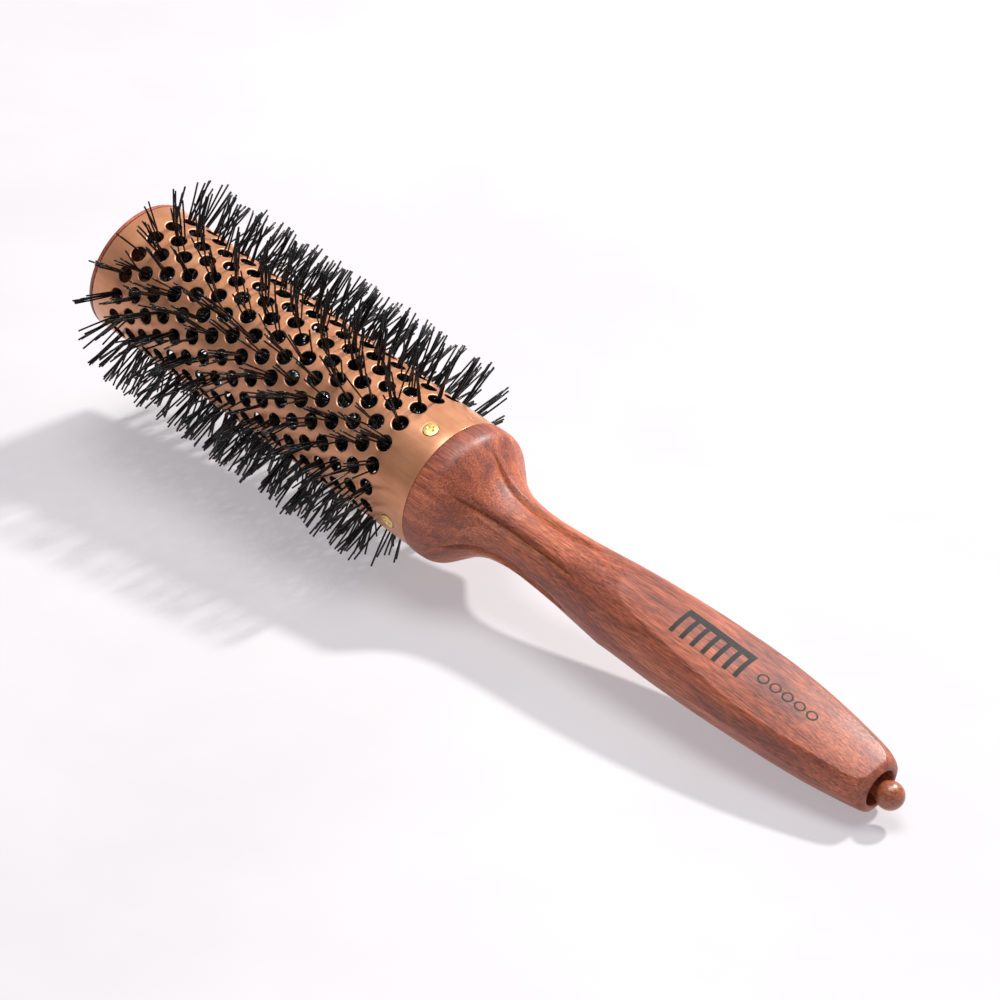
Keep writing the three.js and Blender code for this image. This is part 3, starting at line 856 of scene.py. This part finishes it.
# ---------------------------------------------------------------- small pieces
def end_cap():
    """The wooden disc with its soft rim, and the plug that holds it in the barrel."""
    profile = [
        (3.5, 0.01), (3.5, 2.7), (7.0, 2.7), (7.0, 15.9), (6.8, 16.1), (1.3, 16.1), (1.2, 16.2),
        (1.2, 17.36), (1.14, 17.48), (1.04, 17.5), (0.55, 17.5), (0.3, 17.42), (0.12, 17.2),
        (0.03, 16.85), (0.0, 16.3), (0.0, 12.0), (0.0, 6.0), (0.0, 0.01),
    ]
    points, faces = revolve(profile, 128)
    piece = new_piece("end_cap_disc", points, faces, [MAT_CAP])
    recalculate(piece.data)
    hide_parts("end_cap")


def screw(index):
    """A low domed head with a cross recess, on a plain shank."""
    sides = 64
    radii = [0.02, *(0.12 * i for i in range(1, 14)), 1.66, 1.74, 1.8, SCREW_HEAD_R]
    out = Vector(polar(0, 1, SCREW_STEP * index))
    round_ = Vector(polar(0, 1, SCREW_STEP * index + 90))
    along = Vector((1, 0, 0))
    base = Vector((SCREW_X, 0, 0))

    def domed(radius, u, v):
        near, far = sorted((abs(u), abs(v)))
        slot = max(0.0, 1 - (near / CROSS_HALF_WIDTH) ** 4)
        slot *= max(0.0, 1 - (far / CROSS_HALF_LENGTH) ** 6)
        return SCREW_CROWN - SCREW_DOME * (radius / SCREW_HEAD_R) ** 2 - CROSS_DEPTH * slot

    def ring(radius, level=None):
        row = []
        for k in range(sides):
            a = 2 * math.pi * k / sides + 0.5
            u, v = radius * math.cos(a), radius * math.sin(a)
            height = domed(radius, u, v) if level is None else level
            row.append(tuple(base + out * height + along * u + round_ * v))
        return row

    rings = [ring(r) for r in radii]
    rings += [ring(SCREW_HEAD_R, 17.45), ring(SCREW_HEAD_R - 0.02, 16.95), ring(SCREW_SHANK_R, 16.3),
              ring(SCREW_SHANK_R, 11.5), ring(0.05, 9.5)]
    points, faces = tube_of_rings(rings)
    piece = new_piece(f"screw_head_{index + 1}", points, faces, [MAT_BRASS])
    recalculate(piece.data)
    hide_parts(f"screw_{index + 1}")


def core_wire(name, phase):
    """One of the two strands that twist round each other and hold the bristle rows."""
    sides, steps = 12, 220
    length = WIRE_END - WIRE_START
    rise = 2 * math.pi * WIRE_OFFSET / (length / WIRE_TURNS)
    rings = []
    for i in range(steps + 1):
        t = i / steps
        degrees = phase + 360.0 * WIRE_TURNS * t
        centre = Vector(polar(WIRE_START + length * t, WIRE_OFFSET, degrees))
        out = Vector(polar(0, 1, degrees))
        round_ = Vector(polar(0, 1, degrees + 90))
        along = (Vector((1, 0, 0)) + round_ * rise).normalized()
        side = along.cross(out)
        rings.append([tuple(centre + (out * math.cos(a) + side * math.sin(a)) * WIRE_R)
                      for a in (2 * math.pi * k / sides for k in range(sides))])
    points, faces = tube_of_rings(rings)
    piece = new_piece(f"{name}_strand", points, faces, [MAT_WIRE])
    recalculate(piece.data)
    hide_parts(name)


def pick_knob():
    """A ball on a short neck, and inside the neck the hole that holds the pin."""
    profile = [(246.8, 0.01), (246.8, 1.4), (239.0, 1.4), (239.0, 1.95), (239.15, KNOB_NECK_R),
               (244.6, KNOB_NECK_R), (245.0, 2.13), (245.3, 2.25)]
    first = math.pi - math.asin(2.45 / KNOB_R)
    steps = 24
    for i in range(steps + 1):
        angle = first * (1 - i / steps)
        profile.append((KNOB_X + KNOB_R * math.cos(angle), max(KNOB_R * math.sin(angle), 0.01)))
    points, faces = revolve(profile, 64)
    knob = new_piece("pick_ball", points, faces, [MAT_KNOB], body="pick")
    recalculate(knob.data)
    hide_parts("pick_knob")


def pick_pin():
    """A steel pin that tapers to a blunt point."""
    profile = [(170.0, 0.02), (170.06, 0.2), (170.3, 0.35), (184, 0.75), (210, PIN_R), (246.3, PIN_R),
               (246.5, PIN_R - 0.1), (246.5, 0.02)]
    points, faces = revolve(profile, 32)
    pin = new_piece("pick_needle", points, faces, [MAT_PIN], body="pick")
    recalculate(pin.data)
    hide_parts("pick_pin")


# ---------------------------------------------------------------- build
barrel()
for row in range(HOLE_ROWS):
    bristle_row(row)
handle()
end_cap()
for index in range(SCREWS):
    screw(index)
core_wire("core_wire_a", 0)
core_wire("core_wire_b", 180)
pick_knob()
pick_pin()


# ---------------------------------------------------------------- floor, light and camera
FLOOR_HALF = 3.0
LIGHT_AIM = (0, 0, 0.03)
KEY = {"place": (0.14, 1.06, 1.29), "size": 0.16, "watts": 34, "colour": (1.0, 0.97, 0.94)}
TOP = {"place": (0.0, 0.0, 1.60), "size": 0.9, "watts": 17.5, "colour": (1.0, 0.98, 0.97)}
WORLD_COLOUR = (0.95, 0.96, 1.0, 1)
WORLD_STRENGTH = 0.24
CAMERA_PLACE = Vector((0.50616, -0.55194, 0.48445))
CAMERA_AIM = Vector((0.00023, 0.00257, 0.02668))
CAMERA_ROLL = math.radians(2.915)
CAMERA_LENS = 134.6
CAMERA_SENSOR = 36.0


def floor():
    """A plain pale floor that lifts its own shadows a little."""
    mesh = bpy.data.meshes.new("floor")
    corners = [(-1, -1), (1, -1), (1, 1), (-1, 1)]
    mesh.from_pydata([(x * FLOOR_HALF, y * FLOOR_HALF, 0) for x, y in corners], [], [(0, 1, 2, 3)])
    plane = bpy.data.objects.new("floor", mesh)
    bpy.context.scene.collection.objects.link(plane)
    s = Shader("floor_pale")
    cloud = s.noise(s.mapped((9, 9, 9)), detail=5)
    s.drive("Base Color", s.ramp(cloud, (0.3, (0.32, 0.31, 0.32)), (0.7, (0.36, 0.35, 0.36))))
    s.drive("Emission Color", s.ramp(cloud, (0.3, (0.80, 0.76, 0.81)), (0.7, (0.86, 0.83, 0.87))))
    s.set(Emission_Strength=0.45, Roughness=0.75)
    mesh.materials.append(s.material)


def area_light(name, place, size, watts, colour):
    """A round lamp that faces the brush."""
    data = bpy.data.lights.new(name, "AREA")
    data.shape = "DISK"
    data.size = size
    data.energy = watts
    data.color = colour
    lamp = bpy.data.objects.new(name, data)
    bpy.context.scene.collection.objects.link(lamp)
    lamp.location = place
    aim = Vector(LIGHT_AIM) - Vector(place)
    lamp.rotation_euler = aim.to_track_quat("-Z", "Y").to_euler()


def studio_world():
    """Faint even light from all round."""
    world = bpy.data.worlds.new("studio")
    world.use_nodes = True
    background = world.node_tree.nodes["Background"]
    background.inputs["Color"].default_value = WORLD_COLOUR
    background.inputs["Strength"].default_value = WORLD_STRENGTH
    bpy.context.scene.world = world


def camera():
    """A long lens above and to one side of the brush."""
    data = bpy.data.cameras.new("camera")
    data.sensor_width = CAMERA_SENSOR
    data.lens = CAMERA_LENS
    data.clip_start = 0.05
    data.clip_end = 20
    view = bpy.data.objects.new("camera", data)
    bpy.context.scene.collection.objects.link(view)
    view.location = CAMERA_PLACE
    turn = (CAMERA_AIM - CAMERA_PLACE).to_track_quat("-Z", "Y").to_matrix()
    view.rotation_euler = (turn @ Matrix.Rotation(CAMERA_ROLL, 3, "Z")).to_euler()
    bpy.context.scene.camera = view


floor()
area_light("key", **KEY)
area_light("top", **TOP)
studio_world()
bpy.context.scene.view_settings.view_transform = "Standard"
camera()
